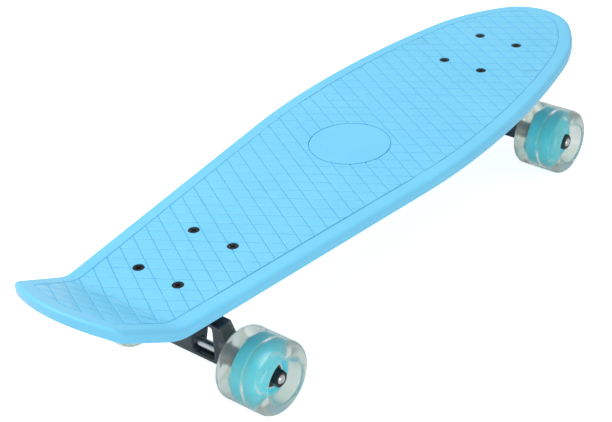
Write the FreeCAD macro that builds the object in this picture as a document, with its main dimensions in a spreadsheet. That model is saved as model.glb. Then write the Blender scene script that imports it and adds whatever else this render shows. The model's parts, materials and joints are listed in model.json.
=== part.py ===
import FreeCAD, Part
import Sketcher
import math
import os

# A moulded plastic cruiser skateboard on two cast trucks with four clear wheels.
# Frame: origin on the ground under the middle of the deck, +X to the nose,
# +Y to the rider's left, +Z up.  Millimetres.

os.makedirs("parts", exist_ok=True)
doc = FreeCAD.newDocument("Skateboard")
Vector = FreeCAD.Vector
Placement = FreeCAD.Placement
Rotation = FreeCAD.Rotation

# ---------------------------------------------------------------- driving sizes
table = [
    # deck
    ("deck_length", 685.0, "nose tip to tail end"),
    ("deck_width", 195.0, "widest, ahead of the middle"),
    ("rim_height", 10.0, "side wall, top to bottom edge"),
    ("rim_wall", 6.0, "side wall thickness"),
    ("skin", 5.0, "top skin thickness"),
    ("rib_wall", 3.0, "underside rib thickness"),
    ("rib_pitch", 56.0, "underside rib spacing"),
    ("rib_inset", 1.5, "rib edge above the rim's bottom edge"),
    ("widest_x", 62.0, "widest station"),
    ("nose_radius", 51.0, "nose tip seen from above"),
    ("shoulder_back", 94.0, "nose tip to the start of the shoulders"),
    ("shoulder_in", 21.2, "start of the shoulders inside the widest line"),
    ("rear_radius", 600.0, "flank behind the widest station"),
    ("flank_taper", 6.85, "straight rear flank, degrees"),
    ("tail_end_radius", 104.0, "bow of the tail's end edge"),
    ("tail_corner", 8.0, "corner radius of the tail"),
    ("kick_start", 76.0, "kicktail, along the ground"),
    ("kick_angle", 28.7, "kicktail angle, degrees"),
    ("kick_bend", 32.0, "bend radius of the deck top"),
    ("disc_radius", 35.5, "smooth disc in the middle of the top"),
    ("disc_groove", 1.0, "groove round the disc"),
    ("wheelbase", 423.6, "between the bolt patterns' centres"),
    ("truck_shift", 8.7, "bolt patterns' middle ahead of the deck's middle"),
    ("pad_thickness", 16.0, "deck at the trucks"),
    ("pad_margin", 4.0, "pad beyond the baseplate"),
    # mounting hardware
    ("bolt_long", 63.5, "bolt spacing along the deck"),
    ("bolt_wide", 41.28, "bolt spacing across the deck"),
    ("screw_radius", 2.4, "mounting screw shank"),
    ("screw_clear", 0.2, "screw hole clearance, radial"),
    ("head_radius", 4.7, "countersunk head"),
    ("head_height", 2.8, "countersunk head"),
    ("head_sunk", 0.4, "head below the deck top"),
    ("drive_length", 5.6, "slot of the cross drive"),
    ("drive_width", 1.0, "slot of the cross drive"),
    ("drive_depth", 2.0, "slot of the cross drive"),
    ("thread_chamfer", 1.0, "turned end of the kingpin and of the axle"),
    ("screw_beyond", 2.0, "screw past its nut"),
    ("nut_flats", 9.5, "mounting nut across flats"),
    ("nut_height", 4.8, "mounting nut"),
    # truck baseplate and steering geometry
    ("plate_end", 10.25, "baseplate beyond the bolts, along the deck"),
    ("plate_side", 6.36, "baseplate beyond the bolts, across the deck"),
    ("plate_thickness", 6.0, "baseplate flange"),
    ("plate_corner", 9.0, "baseplate corner radius"),
    ("axle_drop", 57.5, "axle below the deck pad"),
    ("axle_offset", 6.5, "axle outboard of the bolt pattern's centre"),
    ("kingpin_foot", -10.0, "kingpin line at the deck pad, inboard of centre"),
    ("kingpin_lean", 12.0, "kingpin's nut end leans inboard, degrees"),
    ("kingpin_radius", 4.76, "kingpin shank"),
    ("kingpin_head", 3.24, "kingpin head beyond its shank, radial"),
    ("kingpin_head_height", 5.0, "kingpin head"),
    ("kingpin_beyond", 2.0, "kingpin past its nut"),
    ("boss_radius", 14.0, "kingpin boss"),
    ("boss_depth", 15.0, "kingpin boss, from the pad along the kingpin"),
    ("pivot_out", 28.0, "pivot outboard of the bolt pattern's centre"),
    ("pivot_drop", 13.5, "pivot below the deck pad"),
    ("pivot_radius", 5.5, "hanger's pivot stem"),
    ("pivot_length", 12.0, "pivot cup along the steering axis"),
    ("pivot_clear", 0.08, "running clearance of the stem in its cup"),
    ("cup_wall", 2.5, "pivot cup wall"),
    ("socket_wall", 3.5, "baseplate wall round the pivot cup"),
    # bushings, along the kingpin
    ("bushing_radius", 12.0, "both bushings and their cup washers"),
    ("washer_thickness", 1.8, "cup washers"),
    ("bushing_edge", 1.2, "bushing chamfer, radial"),
    ("bushing_rise", 2.5, "bushing chamfer, along the kingpin"),
    ("barrel_height", 12.0, "board-side bushing"),
    ("cone_height", 10.5, "road-side bushing"),
    ("cone_end", 8.6, "road-side bushing's small end radius"),
    ("bushing_clear", 0.25, "bushing bore over the kingpin"),
    ("seat_gap", 0.2, "between a bushing and the hanger ring at rest"),
    ("kingnut_flats", 14.3, "kingpin nut across flats"),
    ("kingnut_height", 8.0, "kingpin nut"),
    # hanger
    ("ring_wall", 3.5, "hanger ring beyond the bushings, radial"),
    ("ring_height", 9.0, "hanger ring along the kingpin"),
    ("ring_play", 2.74, "hanger ring clear of the kingpin, radial"),
    ("ring_clear", 2.5, "hanger clear of the bushings' stack, radial"),
    ("arm_length", 100.0, "hanger between the end blocks' outer faces"),
    ("arm_depth", 15.0, "hanger arm along the deck"),
    ("arm_below", 9.0, "arm below the axle line"),
    ("arm_above", 30.0, "end block above the axle line"),
    ("arm_shoulder", 12.0, "end block's square part above the axle line"),
    ("arm_slope", 9.0, "end block's taper towards its top"),
    ("block_width", 17.0, "end block across the deck"),
    ("flange", 4.0, "arm's bottom and top flanges"),
    ("hub_width", 22.0, "hanger's centre web across the deck"),
    ("tube_radius", 7.0, "axle tube inside the wheel's dish"),
    # axle and wheels
    ("axle_radius", 4.0, "axle, and the bearings' bore"),
    ("axle_beyond", 1.0, "axle past its nut"),
    ("washer_gap", 1.0, "axle washers' thickness"),
    ("axle_washer_radius", 6.0, "axle washers"),
    ("axlenut_flats", 12.7, "axle nut across flats"),
    ("axlenut_height", 7.0, "axle nut with its collar"),
    ("wheel_gap", 1.5, "between the hanger and the wheel"),
    ("wheel_radius", 31.0, "wheel"),
    ("wheel_width", 48.0, "wheel"),
    ("wheel_round", 7.0, "round between tread and side"),
    ("lip_width", 11.0, "tread down to the start of the side dish, radial"),
    ("dish_margin", 2.0, "dish floor opening beyond the bearing, radial"),
    ("dish_floor", 0.6, "tyre proud of the core at the dish floor"),
    ("core_wall", 7.0, "coloured core beyond the bearing, radial"),
    ("core_width", 24.0, "core, and the bearings' stack"),
    ("bearing_radius", 11.0, "bearing"),
    ("outer_wall", 1.6, "outer race, radial"),
    ("inner_wall", 1.8, "inner race, radial"),
    ("ball_bite", 0.15, "ball's reach into each race"),
    ("ball_clear", 0.06, "ball clearance in its grooves"),
    ("cage_wall", 0.8, "ball cage, radial"),
    ("cage_rim", 0.49, "ball cage beside its pockets, along the axle"),
    ("cage_gap", 0.7, "between the ball cage and a shield"),
    ("shield_thickness", 0.3, "bearing shield"),
    ("shield_clear", 0.15, "shield over the inner race"),
    ("core_step", 0.8, "core's inner shoulder beyond the outer race's bore"),
    ("spacer_wall", 1.2, "spacer between the bearings, radial"),
]
ball_count = 7

# Sizes that follow from the ones above, so that what fits together stays together.
derived = [
    ("mount_height", "wheel_radius + axle_drop", "deck pad's face above the ground"),
    ("top_height", "mount_height + pad_thickness", "deck top above the ground"),
    ("plate_length", "bolt_long + 2 * plate_end", "baseplate"),
    ("plate_width", "bolt_wide + 2 * plate_side", "baseplate"),
    ("head_rim", "kingpin_radius + kingpin_head", "kingpin head radius"),
    ("ring_radius", "bushing_radius + ring_wall", "hanger ring"),
    ("ring_hole", "kingpin_radius + ring_play", "hanger ring's hole"),
    ("track_half", "arm_length / 2 + wheel_gap + wheel_width / 2", "wheel centre from the middle plane"),
    ("lip_radius", "wheel_radius - lip_width", "start of the side dish"),
    ("dish_radius", "bearing_radius + dish_margin", "dish floor opening"),
    ("core_radius", "bearing_radius + core_wall", "coloured core"),
    ("race_outer", "bearing_radius - outer_wall", "outer race's bore"),
    ("race_inner", "axle_radius + inner_wall", "inner race's shoulder"),
    ("ball_ring", "(race_outer + race_inner) / 2", "circle of the balls' centres"),
    ("ball_radius", "(race_outer - race_inner) / 2 + ball_bite", "bearing ball"),
    ("cage_width", "2 * (ball_radius + ball_clear + cage_rim)", "ball cage along the axle"),
    ("bearing_width", "cage_width + 2 * (cage_gap + shield_thickness)", "bearing"),
    ("core_web", "race_outer - core_step", "core's inner shoulder between the bearings"),
    ("spacer_radius", "axle_radius + spacer_wall", "spacer between the bearings"),
]

sheet = doc.addObject("Spreadsheet::Sheet", "Sizes")
for row, (alias, value, note) in enumerate(table + derived, 1):
    sheet.set("A%d" % row, alias)
    sheet.set("B%d" % row, "=" + value if isinstance(value, str) else str(value))
    sheet.set("C%d" % row, note)
    sheet.setAlias("B%d" % row, alias)
doc.recompute()


def size(alias):
    return float(getattr(sheet, alias))


def evaluate(expression):
    """The value of an expression over the sheet's cells."""
    return float(sheet.evalExpression(expression))


# ---------------------------------------------------------------- sketch and solid helpers
def origin_plane(body, role):
    return next(f for f in body.Origin.OriginFeatures if f.Role == role)


def new_sketch(body, name, role):
    sketch = body.newObject("Sketcher::SketchObject", name)
    sketch.AttachmentSupport = [(origin_plane(body, role), "")]
    sketch.MapMode = "FlatFace"
    return sketch


def polygon(sketch, corners):
    """A closed outline whose corners are pairs of expressions over the sheet."""
    spots = [Vector(evaluate(x), evaluate(y), 0) for x, y in corners]
    count = len(spots)
    for i, spot in enumerate(spots):
        sketch.addGeometry(Part.LineSegment(spot, spots[(i + 1) % count]), False)
    for i in range(count):
        sketch.addConstraint(Sketcher.Constraint("Coincident", i, 2, (i + 1) % count, 1))
    for i, corner in enumerate(corners):
        for kind, value, expression in zip(("DistanceX", "DistanceY"), spots[i], corner):
            index = sketch.addConstraint(Sketcher.Constraint(kind, -1, 1, i, 1, value))
            sketch.setExpression("Constraints[%d]" % index, expression)


def turned(name, corners):
    """A body turned about its own Y axis; corners are (radius, place along the axis)."""
    body = doc.addObject("PartDesign::Body", name)
    sketch = new_sketch(body, name + "_profile", "XY_Plane")
    polygon(sketch, corners)
    turn = body.newObject("PartDesign::Revolution", name + "_turn")
    turn.Profile = sketch
    turn.ReferenceAxis = (sketch, ["V_Axis"])
    turn.Angle = 360
    return body


def ring(name, inner, outer, start, end):
    """A plain turned ring between two radii and two places along its axis."""
    return turned(name, [(inner, start), (outer, start), (outer, end), (inner, end)])


def bound(kind, name, **cells):
    """A primitive whose properties follow expressions over the sheet."""
    item = doc.addObject(kind, name)
    for prop, expression in cells.items():
        item.setExpression(prop, expression)
    return item


def boolean(kind, name, base, tool):
    item = doc.addObject(kind, name)
    item.Base = base
    item.Tool = tool
    return item


def fused(name, *pieces):
    item = doc.addObject("Part::MultiFuse", name)
    item.Shapes = list(pieces)
    return item


nut_reach = 0.6  # just past a nut's corners, as a share of its width across flats
nut_bevel = 0.06  # height of its turned corners, as a share of the same width


def hex_nut(name, flats, height, bore):
    """A hexagonal nut standing on +Z, its corners turned off at both ends."""
    prism = bound("Part::Prism", name + "_hex", Circumradius="%s / 2 / cos(30)" % flats, Height=height)
    prism.Polygon = 6
    reach = "%s * %s" % (flats, nut_reach)
    bevel = "%s * %s" % (flats, nut_bevel)
    cone = turned(name + "_turning", [
        ("0", "0"), ("%s / 2" % flats, "0"), (reach, bevel), (reach, "%s - %s" % (height, bevel)),
        ("%s / 2" % flats, height), ("0", height),
    ])
    cone.Placement = Placement(Vector(), Rotation(Vector(1, 0, 0), 90))
    blank = boolean("Part::Common", name + "_blank", prism, cone)
    hole = bound("Part::Cylinder", name + "_hole", Radius=bore, Height=height)
    return boolean("Part::Cut", name, blank, hole)


nodes = []


def node(label, source, places=None):
    """The sub-part called label: the source solid, once at each of its places."""
    links = []
    for number, place in enumerate(places or [Placement()]):
        link = doc.addObject("App::Link", "%s_place%d" % (label, number))
        link.LinkedObject = source
        link.LinkTransform = True
        link.Placement = place
        links.append(link)
    item = doc.addObject("Part::Compound", label)
    item.Links = links
    item.Label = label
    nodes.append(item)
    return item


# ---------------------------------------------------------------- frames
mount_z = size("mount_height")
lean = math.radians(size("kingpin_lean"))

# In a truck's own frame X points outboard, to the nearer end of the deck, and
# Z = 0 is the face of the deck's pad.
kingpin_way = Vector(-math.sin(lean), 0, -math.cos(lean))
kingpin_top = Vector(size("kingpin_foot"), 0, 0)
along_kingpin = Placement(kingpin_top, Rotation(Vector(0, 1, 0), kingpin_way))


def truck_place(end):
    """Where a truck's frame stands: end is +1 at the nose and -1 at the tail."""
    x = size("truck_shift") + end * size("wheelbase") / 2
    return Placement(Vector(x, 0, mount_z), Rotation(Vector(0, 0, 1), 0 if end > 0 else 180))


trucks = {"front": truck_place(1), "rear": truck_place(-1)}
bolt_spots = [
    Vector(i * size("bolt_long") / 2, j * size("bolt_wide") / 2, 0) for i in (1, -1) for j in (1, -1)
]

# Stations along the kingpin, from the deck pad's face to the nut.
board_washer = size("boss_depth")
barrel_start = board_washer + size("washer_thickness")
ring_start = barrel_start + size("barrel_height") + size("seat_gap")
ring_end = ring_start + size("ring_height")
cone_start = ring_end + size("seat_gap")
road_washer = cone_start + size("cone_height")
kingnut_start = road_washer + size("washer_thickness")
kingpin_end = kingnut_start + size("kingnut_height") + size("kingpin_beyond")

# The steering axis runs from the ring's centre up and outboard through the pivot.
ring_centre = kingpin_top + kingpin_way * ((ring_start + ring_end) / 2)
pivot = Vector(size("pivot_out"), 0, -size("pivot_drop"))
steer_way = (pivot - ring_centre).normalize()
axle_spot = Vector(size("axle_offset"), 0, -size("axle_drop"))


def cylinder_between(radius, start, end):
    return Part.makeCylinder(radius, (end - start).Length, start, end - start)


# ---------------------------------------------------------------- deck
touching = 0.01  # places this close are the same place
half_length = size("deck_length") / 2
tail_end_x = -half_length
far = 2 * size("deck_width")


def direction(angle):
    return Vector(math.cos(angle), math.sin(angle), 0)


def outline_arcs():
    """Tangent arcs down the left side, nose to tail: (centre, radius, first and last normal)."""
    level = math.pi / 2
    half_width = size("deck_width") / 2
    reach = half_length - size("shoulder_back") - size("widest_x")
    side_radius = (reach ** 2 + size("shoulder_in") ** 2) / (2 * size("shoulder_in"))
    nose = Vector(half_length - size("nose_radius"), 0, 0)
    side = Vector(size("widest_x"), half_width - side_radius, 0)
    rear = Vector(size("widest_x"), half_width - size("rear_radius"), 0)
    end = Vector(tail_end_x + size("tail_end_radius"), 0, 0)

    # The shoulder arc leaves the side arc and runs into the nose arc.  Its radius is
    # negative where the nose is so blunt for the width that the shoulder is hollow.
    join = math.acos(reach / side_radius)
    start = side + direction(join) * side_radius
    gap = start - nose
    radius = size("nose_radius") ** 2 - gap.dot(gap)
    radius /= 2 * (size("nose_radius") - gap.dot(direction(join)))
    shoulder = start - direction(join) * radius
    between = (nose - shoulder) * math.copysign(1, radius)
    meet = math.atan2(between.y, between.x)

    # The corner arc touches the straight flank and the tail's end arc.
    flank = level + math.radians(size("flank_taper"))
    inner = size("tail_end_radius") - size("tail_corner")
    offset = (end - rear).dot(direction(flank)) - (size("rear_radius") - size("tail_corner"))
    along = math.sqrt(inner ** 2 - offset ** 2)
    corner = end - direction(flank) * offset + direction(flank + level) * along
    turn = math.atan2(corner.y, corner.x - end.x)
    return [
        (nose, size("nose_radius"), 0, meet),
        (shoulder, radius, meet, join),
        (side, side_radius, join, level),
        (rear, size("rear_radius"), level, flank),
        (corner, size("tail_corner"), flank, turn),
        (end, size("tail_end_radius"), turn, math.pi),
    ]


def deck_outline(inset=0):
    """The deck seen from above, or a line parallel to it further in."""
    edges = []
    for hand in (1, -1):
        last = None
        for centre, radius, first, final in outline_arcs():
            spots = [centre + direction(a) * (radius - inset) for a in (first, (first + final) / 2, final)]
            spots = [Vector(p.x, hand * p.y, 0) for p in spots]
            if last and (spots[0] - last).Length > touching:
                edges.append(Part.LineSegment(last, spots[0]).toShape())
            edges.append(Part.Arc(*spots).toShape())
            last = spots[2]
    return Part.Wire(Part.__sortEdges__(edges))


def deck_layer(top_depth, bottom_depth):
    """Everything between two depths under the deck's top, flat and then up the kicktail."""
    top = size("top_height")
    bend = math.radians(size("kick_angle"))
    centre = Vector(tail_end_x + size("kick_start"), 0, top + size("kick_bend"))

    def line(depth):
        radius = size("kick_bend") + depth
        spot = [centre - Vector(math.sin(a), 0, math.cos(a)) * radius for a in (0, bend / 2, bend)]
        tail = spot[2] + Vector(-math.cos(bend), 0, math.sin(bend)) * 2 * size("kick_start")
        return [Vector(half_length + far, 0, top - depth)] + spot + [tail]

    upper, lower = line(top_depth), line(bottom_depth)
    edges = [Part.LineSegment(upper[i], lower[i]).toShape() for i in (0, 4)]
    for p in (upper, lower):
        edges += [Part.LineSegment(p[0], p[1]).toShape(), Part.Arc(p[1], p[2], p[3]).toShape(),
                  Part.LineSegment(p[3], p[4]).toShape()]
    face = Part.Face(Part.Wire(Part.__sortEdges__(edges)))
    face.translate(Vector(0, -far, 0))
    return face.extrude(Vector(0, 2 * far, 0))


def column(wire):
    """The whole height over a flat outline."""
    return Part.Face(wire).extrude(Vector(0, 0, 3 * size("top_height")))


def underside_ribs():
    """Walls across and along the deck, between the skin and just above the rim's edge."""
    pitch = size("rib_pitch")
    wall = size("rib_wall")
    height = 3 * size("top_height")
    across = int(half_length / pitch) + 1
    along = int(size("deck_width") / 2 / pitch) + 1
    walls = []
    for place in range(-across, across + 1):
        x = size("truck_shift") + place * pitch - wall / 2
        walls.append(Part.makeBox(wall, size("deck_width"), height, Vector(x, -size("deck_width") / 2, 0)))
    for place in range(-along, along):
        y = (place + 0.5) * pitch - wall / 2
        walls.append(Part.makeBox(size("deck_length"), wall, height, Vector(-half_length, y, 0)))
    layer = deck_layer(size("skin") / 2, size("rim_height") - size("rib_inset"))
    layer = layer.common(column(deck_outline(size("rim_wall") / 2)))
    return layer.common(walls[0].multiFuse(walls[1:]))


def truck_pad(place):
    """The thick pad over a truck, from inside the skin down to the mounting face."""
    length = size("plate_length") + 2 * size("pad_margin")
    width = size("plate_width") + 2 * size("pad_margin")
    height = size("pad_thickness") - size("skin") / 2
    pad = Part.makeBox(length, width, height, Vector(-length / 2, -width / 2, 0))
    uprights = [e for e in pad.Edges if abs(e.tangentAt(e.FirstParameter).z) > 0.9]
    pad = pad.makeFillet(size("plate_corner") + size("pad_margin"), uprights)
    pad.Placement = place
    return pad


def screw_hole(spot):
    """Cuts for one countersunk screw, whose head sits just below the top."""
    seat = size("top_height") - size("head_sunk")
    clear = size("screw_clear")
    shank = size("screw_radius") + clear
    head = size("head_radius") + clear
    mouth = Part.makeCylinder(head, 2 * size("head_sunk"), Vector(spot.x, spot.y, seat))
    cone = Part.makeCone(shank, head, size("head_height"),
                         Vector(spot.x, spot.y, seat - size("head_height")))
    bore = Part.makeCylinder(shank, size("pad_thickness") + 2, Vector(spot.x, spot.y, mount_z - 1))
    return mouth.multiFuse([cone, bore])


def disc_groove():
    """The fine groove that sets off the smooth disc in the middle of the top."""
    start = Vector(size("truck_shift"), 0, size("top_height") - size("disc_groove"))
    outer = Part.makeCylinder(size("disc_radius") + size("disc_groove"), 2 * size("disc_groove"), start)
    return outer.cut(Part.makeCylinder(size("disc_radius"), 2 * size("disc_groove"), start))


def make_deck():
    shell = column(deck_outline()).common(deck_layer(0, size("rim_height")))
    hollow = column(deck_outline(size("rim_wall"))).common(deck_layer(size("skin"), 2 * size("rim_height")))
    pads = [truck_pad(place) for place in trucks.values()]
    solid = shell.cut(hollow).multiFuse([underside_ribs()] + pads)
    holes = [screw_hole(place.multVec(spot)) for place in trucks.values() for spot in bolt_spots]
    return solid.cut(holes + [disc_groove()]).removeSplitter()


deck = doc.addObject("Part::Feature", "deck_moulding")
deck.Shape = make_deck()
node("deck", deck)

# ---------------------------------------------------------------- mounting hardware
screw_end = "-Sizes.pad_thickness - Sizes.plate_thickness - Sizes.nut_height - Sizes.screw_beyond"
screw = turned("mounting_screw", [
    ("0", "-Sizes.head_sunk"), ("Sizes.head_radius", "-Sizes.head_sunk"),
    ("Sizes.screw_radius", "-Sizes.head_sunk - Sizes.head_height"),
    ("Sizes.screw_radius", screw_end), ("0", screw_end),
])
slots = []
for name, length, width in (("drive_slot_along", "drive_length", "drive_width"),
                            ("drive_slot_across", "drive_width", "drive_length")):
    slot = bound("Part::Box", name, Length="Sizes." + length, Width="Sizes." + width,
                 Height="Sizes.drive_depth")
    floor = -size("head_sunk") - size("drive_depth")
    slot.Placement = Placement(Vector(-size(length) / 2, -size(width) / 2, floor), Rotation())
    slots.append(slot)
upright_screw = doc.addObject("Part::Compound", "upright_screw")
upright_screw.Links = [screw]
upright_screw.Placement = Placement(Vector(), Rotation(Vector(1, 0, 0), 90))
screw_solid = boolean("Part::Cut", "screw_with_drive", upright_screw, fused("cross_drive", *slots))

small_nut = hex_nut("mounting_nut", "Sizes.nut_flats", "Sizes.nut_height", "Sizes.screw_radius")
screw_places = []
nut_places = []
for place in trucks.values():
    for spot in bolt_spots:
        at = place.multVec(spot)
        screw_places.append(Placement(Vector(at.x, at.y, size("top_height")), Rotation()))
        nut_z = mount_z - size("plate_thickness") - size("nut_height")
        nut_places.append(Placement(Vector(at.x, at.y, nut_z), Rotation()))
node("mounting_screws", screw_solid, screw_places)
node("mounting_nuts", small_nut, nut_places)


# ---------------------------------------------------------------- baseplate and kingpin
def make_baseplate():
    """Flange, kingpin boss and pivot socket in one casting."""
    length, width, thick = size("plate_length"), size("plate_width"), size("plate_thickness")
    flange = Part.makeBox(length, width, thick, Vector(-length / 2, -width / 2, -thick))
    uprights = [e for e in flange.Edges if abs(e.tangentAt(e.FirstParameter).z) > 0.9]
    flange = flange.makeFillet(size("plate_corner"), uprights)
    boss_end = kingpin_top + kingpin_way * size("boss_depth")
    boss = cylinder_between(size("boss_radius"), kingpin_top - kingpin_way * size("boss_radius"), boss_end)
    half_cup = steer_way * (size("pivot_length") / 2)
    socket_radius = size("pivot_radius") + size("cup_wall") + size("socket_wall")
    socket = cylinder_between(socket_radius, pivot - half_cup, pivot + half_cup * 3)
    below = Part.makeBox(4 * length, 4 * width, 4 * length, Vector(-2 * length, -2 * width, -4 * length))
    inside = Part.makeBox(length, width, 4 * length, Vector(-length / 2, -width / 2, -4 * length))
    bulk = flange.multiFuse([boss.common(below), socket.common(inside)])

    head_room = cylinder_between(size("head_rim") + size("screw_clear"),
                                 kingpin_top - kingpin_way * size("boss_radius"),
                                 kingpin_top + kingpin_way * head_seat)
    bore = cylinder_between(size("kingpin_radius"), kingpin_top, boss_end + kingpin_way)
    cup_radius = size("pivot_radius") + size("cup_wall")
    cup_room = cylinder_between(cup_radius, pivot - half_cup * 2, pivot + half_cup)
    cuts = [head_room, bore, cup_room]
    for spot in bolt_spots:
        cuts.append(Part.makeCylinder(size("screw_radius") + size("screw_clear"), 3 * thick,
                                      spot - Vector(0, 0, 2 * thick)))
    return bulk.cut(cuts).removeSplitter()


# The kingpin's head sits in the baseplate, with its leaning top just under the pad.
head_start = size("head_rim") * math.tan(lean) + size("seat_gap")
head_seat = head_start + size("kingpin_head_height")

baseplate = doc.addObject("Part::Feature", "baseplate_casting")
baseplate.Shape = make_baseplate()

pivot_cup = turned("pivot_cup", [
    ("Sizes.pivot_radius + Sizes.pivot_clear", "-Sizes.pivot_length / 2"),
    ("Sizes.pivot_radius + Sizes.cup_wall", "-Sizes.pivot_length / 2"),
    ("Sizes.pivot_radius + Sizes.cup_wall", "Sizes.pivot_length / 2"),
    ("0", "Sizes.pivot_length / 2"),
    ("0", "Sizes.pivot_length / 2 - Sizes.cup_wall"),
    ("Sizes.pivot_radius + Sizes.pivot_clear", "Sizes.pivot_length / 2 - Sizes.cup_wall"),
])
at_pivot = Placement(pivot, Rotation(Vector(0, 1, 0), steer_way))


def mm(value):
    """A worked-out place as an expression."""
    return "%.6f" % value


kingpin = turned("kingpin_bolt", [
    ("0", mm(head_start)), ("Sizes.head_rim", mm(head_start)), ("Sizes.head_rim", mm(head_seat)),
    ("Sizes.kingpin_radius", mm(head_seat)),
    ("Sizes.kingpin_radius", mm(kingpin_end) + " - Sizes.thread_chamfer"),
    ("Sizes.kingpin_radius - Sizes.thread_chamfer", mm(kingpin_end)), ("0", mm(kingpin_end)),
])
kingpin_nut = hex_nut("kingpin_nut", "Sizes.kingnut_flats", "Sizes.kingnut_height", "Sizes.kingpin_radius")


def cup_washer(name, start):
    return ring(name, "Sizes.kingpin_radius", "Sizes.bushing_radius",
                mm(start), mm(start) + " + Sizes.washer_thickness")


washers = [cup_washer("board_washer", board_washer), cup_washer("road_washer", road_washer)]
bore = "Sizes.kingpin_radius + Sizes.bushing_clear"
barrel_end = mm(barrel_start) + " + Sizes.barrel_height"
barrel = turned("board_bushing", [
    (bore, mm(barrel_start)), ("Sizes.bushing_radius - Sizes.bushing_edge", mm(barrel_start)),
    ("Sizes.bushing_radius", mm(barrel_start) + " + Sizes.bushing_rise"),
    ("Sizes.bushing_radius", barrel_end + " - Sizes.bushing_rise"),
    ("Sizes.bushing_radius - Sizes.bushing_edge", barrel_end), (bore, barrel_end),
])
cone = turned("road_bushing", [
    (bore, mm(cone_start)), ("Sizes.bushing_radius", mm(cone_start)),
    ("Sizes.bushing_radius", mm(cone_start) + " + Sizes.bushing_rise"),
    ("Sizes.cone_end", mm(cone_start) + " + Sizes.cone_height"),
    (bore, mm(cone_start) + " + Sizes.cone_height"),
])


# ---------------------------------------------------------------- hanger
def make_hanger():
    """Axle beam, two end blocks with a flange between, centre web, ring and pivot stem."""
    half_arm = size("arm_length") / 2
    depth = size("arm_depth")
    centre_x, axle = axle_spot.x, axle_spot.z
    low, high = axle - size("arm_below"), axle + size("arm_above")
    hub = size("hub_width") / 2
    block = half_arm - size("block_width")

    def slab(corners, x, thickness):
        """A flat outline in the truck's cross plane, given as (y, z), made thickness deep."""
        wire = Part.makePolygon([Vector(x - thickness / 2, y, z) for y, z in corners + corners[:1]])
        return Part.Face(wire).extrude(Vector(thickness, 0, 0))

    shoulder = axle + size("arm_shoulder")
    slope = half_arm - size("arm_slope")
    front = slab([(-half_arm, low), (half_arm, low), (half_arm, shoulder), (slope, high),
                  (-slope, high), (-half_arm, shoulder)], centre_x, depth)
    sill, head = low + size("flange"), high - size("flange")
    windows = [
        slab([(hand * hub, sill), (hand * block, sill), (hand * block, head), (hand * hub, head)],
             centre_x, 2 * depth)
        for hand in (1, -1)
    ]
    tube_end = size("track_half") - size("core_width") / 2 - size("washer_gap")
    tube = cylinder_between(size("tube_radius"), Vector(centre_x, -tube_end, axle),
                            Vector(centre_x, tube_end, axle))
    keep = [Part.makeBox(4 * depth, far, 4 * depth, Vector(centre_x - 2 * depth, y, axle - 2 * depth))
            for y in (half_arm - size("flange"), -half_arm + size("flange") - far)]
    tube = tube.common(Part.makeCompound(keep))

    stem_root = pivot - steer_way * (size("pivot_out") - centre_x)
    web = Part.makePolygon([Vector(x, -hub, z) for x, z in [
        (ring_centre.x + size("ring_hole"), ring_centre.z + size("ring_height") / 2),
        (stem_root.x - size("pivot_radius") / 2, stem_root.z),
        (stem_root.x + depth / 2, stem_root.z + size("pivot_radius") / 2),
        (centre_x + depth / 2, low), (centre_x - depth / 2, low),
        (ring_centre.x + size("ring_hole"), ring_centre.z - size("ring_height") / 2),
        (ring_centre.x + size("ring_hole"), ring_centre.z + size("ring_height") / 2),
    ]])
    web = Part.Face(web).extrude(Vector(0, 2 * hub, 0))
    ring_low = kingpin_top + kingpin_way * ring_end
    ring_high = kingpin_top + kingpin_way * ring_start
    outer_ring = cylinder_between(size("ring_radius"), ring_high, ring_low)
    stem_end = pivot + steer_way * (size("pivot_length") / 2 - size("cup_wall") - size("seat_gap"))
    stem = cylinder_between(size("pivot_radius"), stem_root, stem_end)

    room = size("bushing_radius") + size("ring_clear")
    cuts = [
        cylinder_between(size("ring_hole"), ring_high - kingpin_way, ring_low + kingpin_way),
        cylinder_between(room, kingpin_top, ring_high),
        cylinder_between(room, ring_low, kingpin_top + kingpin_way * (kingpin_end + size("ring_radius"))),
    ]
    axle_bore = Part.makeCylinder(size("axle_radius"), 4 * half_arm, Vector(centre_x, -2 * half_arm, axle),
                                  Vector(0, 1, 0))
    body = front.cut(windows).multiFuse([tube, web, outer_ring, stem])
    return body.cut(cuts + [axle_bore]).removeSplitter()


hanger = doc.addObject("Part::Feature", "hanger_casting")
hanger.Shape = make_hanger()

# ---------------------------------------------------------------- axle
core_face = size("track_half") + size("core_width") / 2
nut_start = core_face + size("washer_gap")
axle_end = nut_start + size("axlenut_height") + size("axle_beyond")
axle = turned("axle_rod", [
    ("0", mm(-axle_end)), ("Sizes.axle_radius - Sizes.thread_chamfer", mm(-axle_end)),
    ("Sizes.axle_radius", mm(-axle_end) + " + Sizes.thread_chamfer"),
    ("Sizes.axle_radius", mm(axle_end) + " - Sizes.thread_chamfer"),
    ("Sizes.axle_radius - Sizes.thread_chamfer", mm(axle_end)), ("0", mm(axle_end)),
])
axle_nut = hex_nut("axle_nut", "Sizes.axlenut_flats", "Sizes.axlenut_height", "Sizes.axle_radius")
axle_washer = ring("axle_washer", "Sizes.axle_radius", "Sizes.axle_washer_radius",
                   "-Sizes.washer_gap / 2", "Sizes.washer_gap / 2")


def across(y, turn=0):
    """On the axle's line in a truck's frame, its own Y axis along the axle."""
    return Placement(Vector(axle_spot.x, y, axle_spot.z), Rotation(Vector(0, 0, 1), turn))


washer_half = size("core_width") / 2 + size("washer_gap") / 2
washer_spots = [hand * (size("track_half") + side * washer_half) for hand in (1, -1) for side in (1, -1)]
outward = {1: Rotation(Vector(1, 0, 0), -90), -1: Rotation(Vector(1, 0, 0), 90)}

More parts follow.
